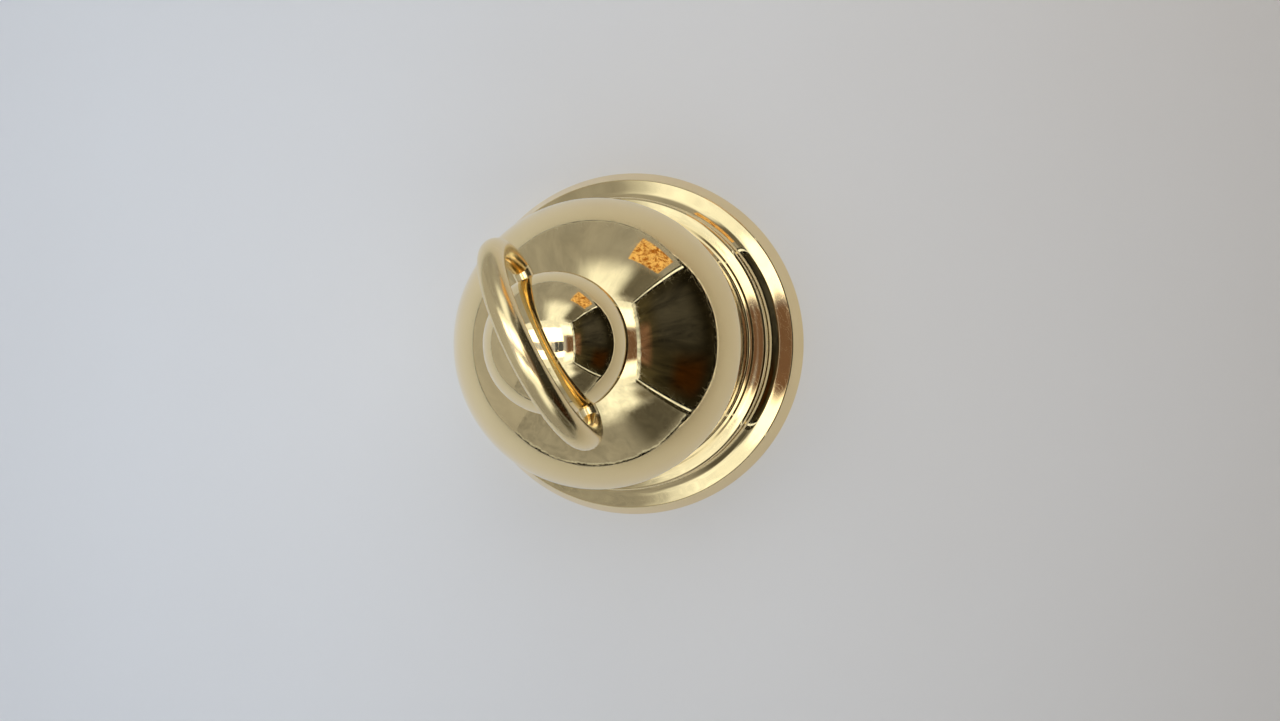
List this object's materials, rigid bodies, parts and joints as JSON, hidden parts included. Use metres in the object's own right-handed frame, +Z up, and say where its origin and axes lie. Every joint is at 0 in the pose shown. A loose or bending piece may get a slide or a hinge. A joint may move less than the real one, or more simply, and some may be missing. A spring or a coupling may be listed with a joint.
{
  "type": "hanging door bell",
  "caption": "Turned brass bell with moulded lip and domed crown, hung by a pivoting ring through a ball, with a swinging clapper inside.",
  "frame": {"origin": "centre of the bell's mouth, on the surface the bell stands on", "axes": "+Z up the bell's own axis to the hanging ring; the ring's pivot pins and the clapper's swing axis lie along X; +Y is the direction they swing in"},
  "size_m": [0.076, 0.076, 0.0984],
  "materials": {
    "polished_brass": "polished",
    "turned_brass": "satin turned",
    "plated_steel": "zinc plated",
    "gasket_leather": "matt"
  },
  "bodies": {
    "bell": {"bell_body": "polished_brass", "crown_collar": "polished_brass", "crown_ball": "polished_brass", "eyebolt": "plated_steel", "crown_gasket": "gasket_leather", "crown_washer": "plated_steel", "lock_washer": "plated_steel", "crown_nut": "plated_steel"},
    "ring": {"hanging_ring": "polished_brass"},
    "clapper": {"clapper_rod": "plated_steel", "clapper_ball": "turned_brass", "clapper_nut": "turned_brass", "clapper_tail": "turned_brass"}
  },
  "joints": [
    {"name": "ring_swing", "type": "hinge", "parent": "bell", "child": "ring", "pos_m": [0, 0, 0.07559], "axis": [1, 0, 0], "range_deg": [-126, 126]},
    {"name": "clapper_swing", "type": "hinge", "parent": "bell", "child": "clapper", "pos_m": [0, 0, 0.04191], "axis": [1, 0, 0], "range_deg": [-36, 36]}
  ]
}
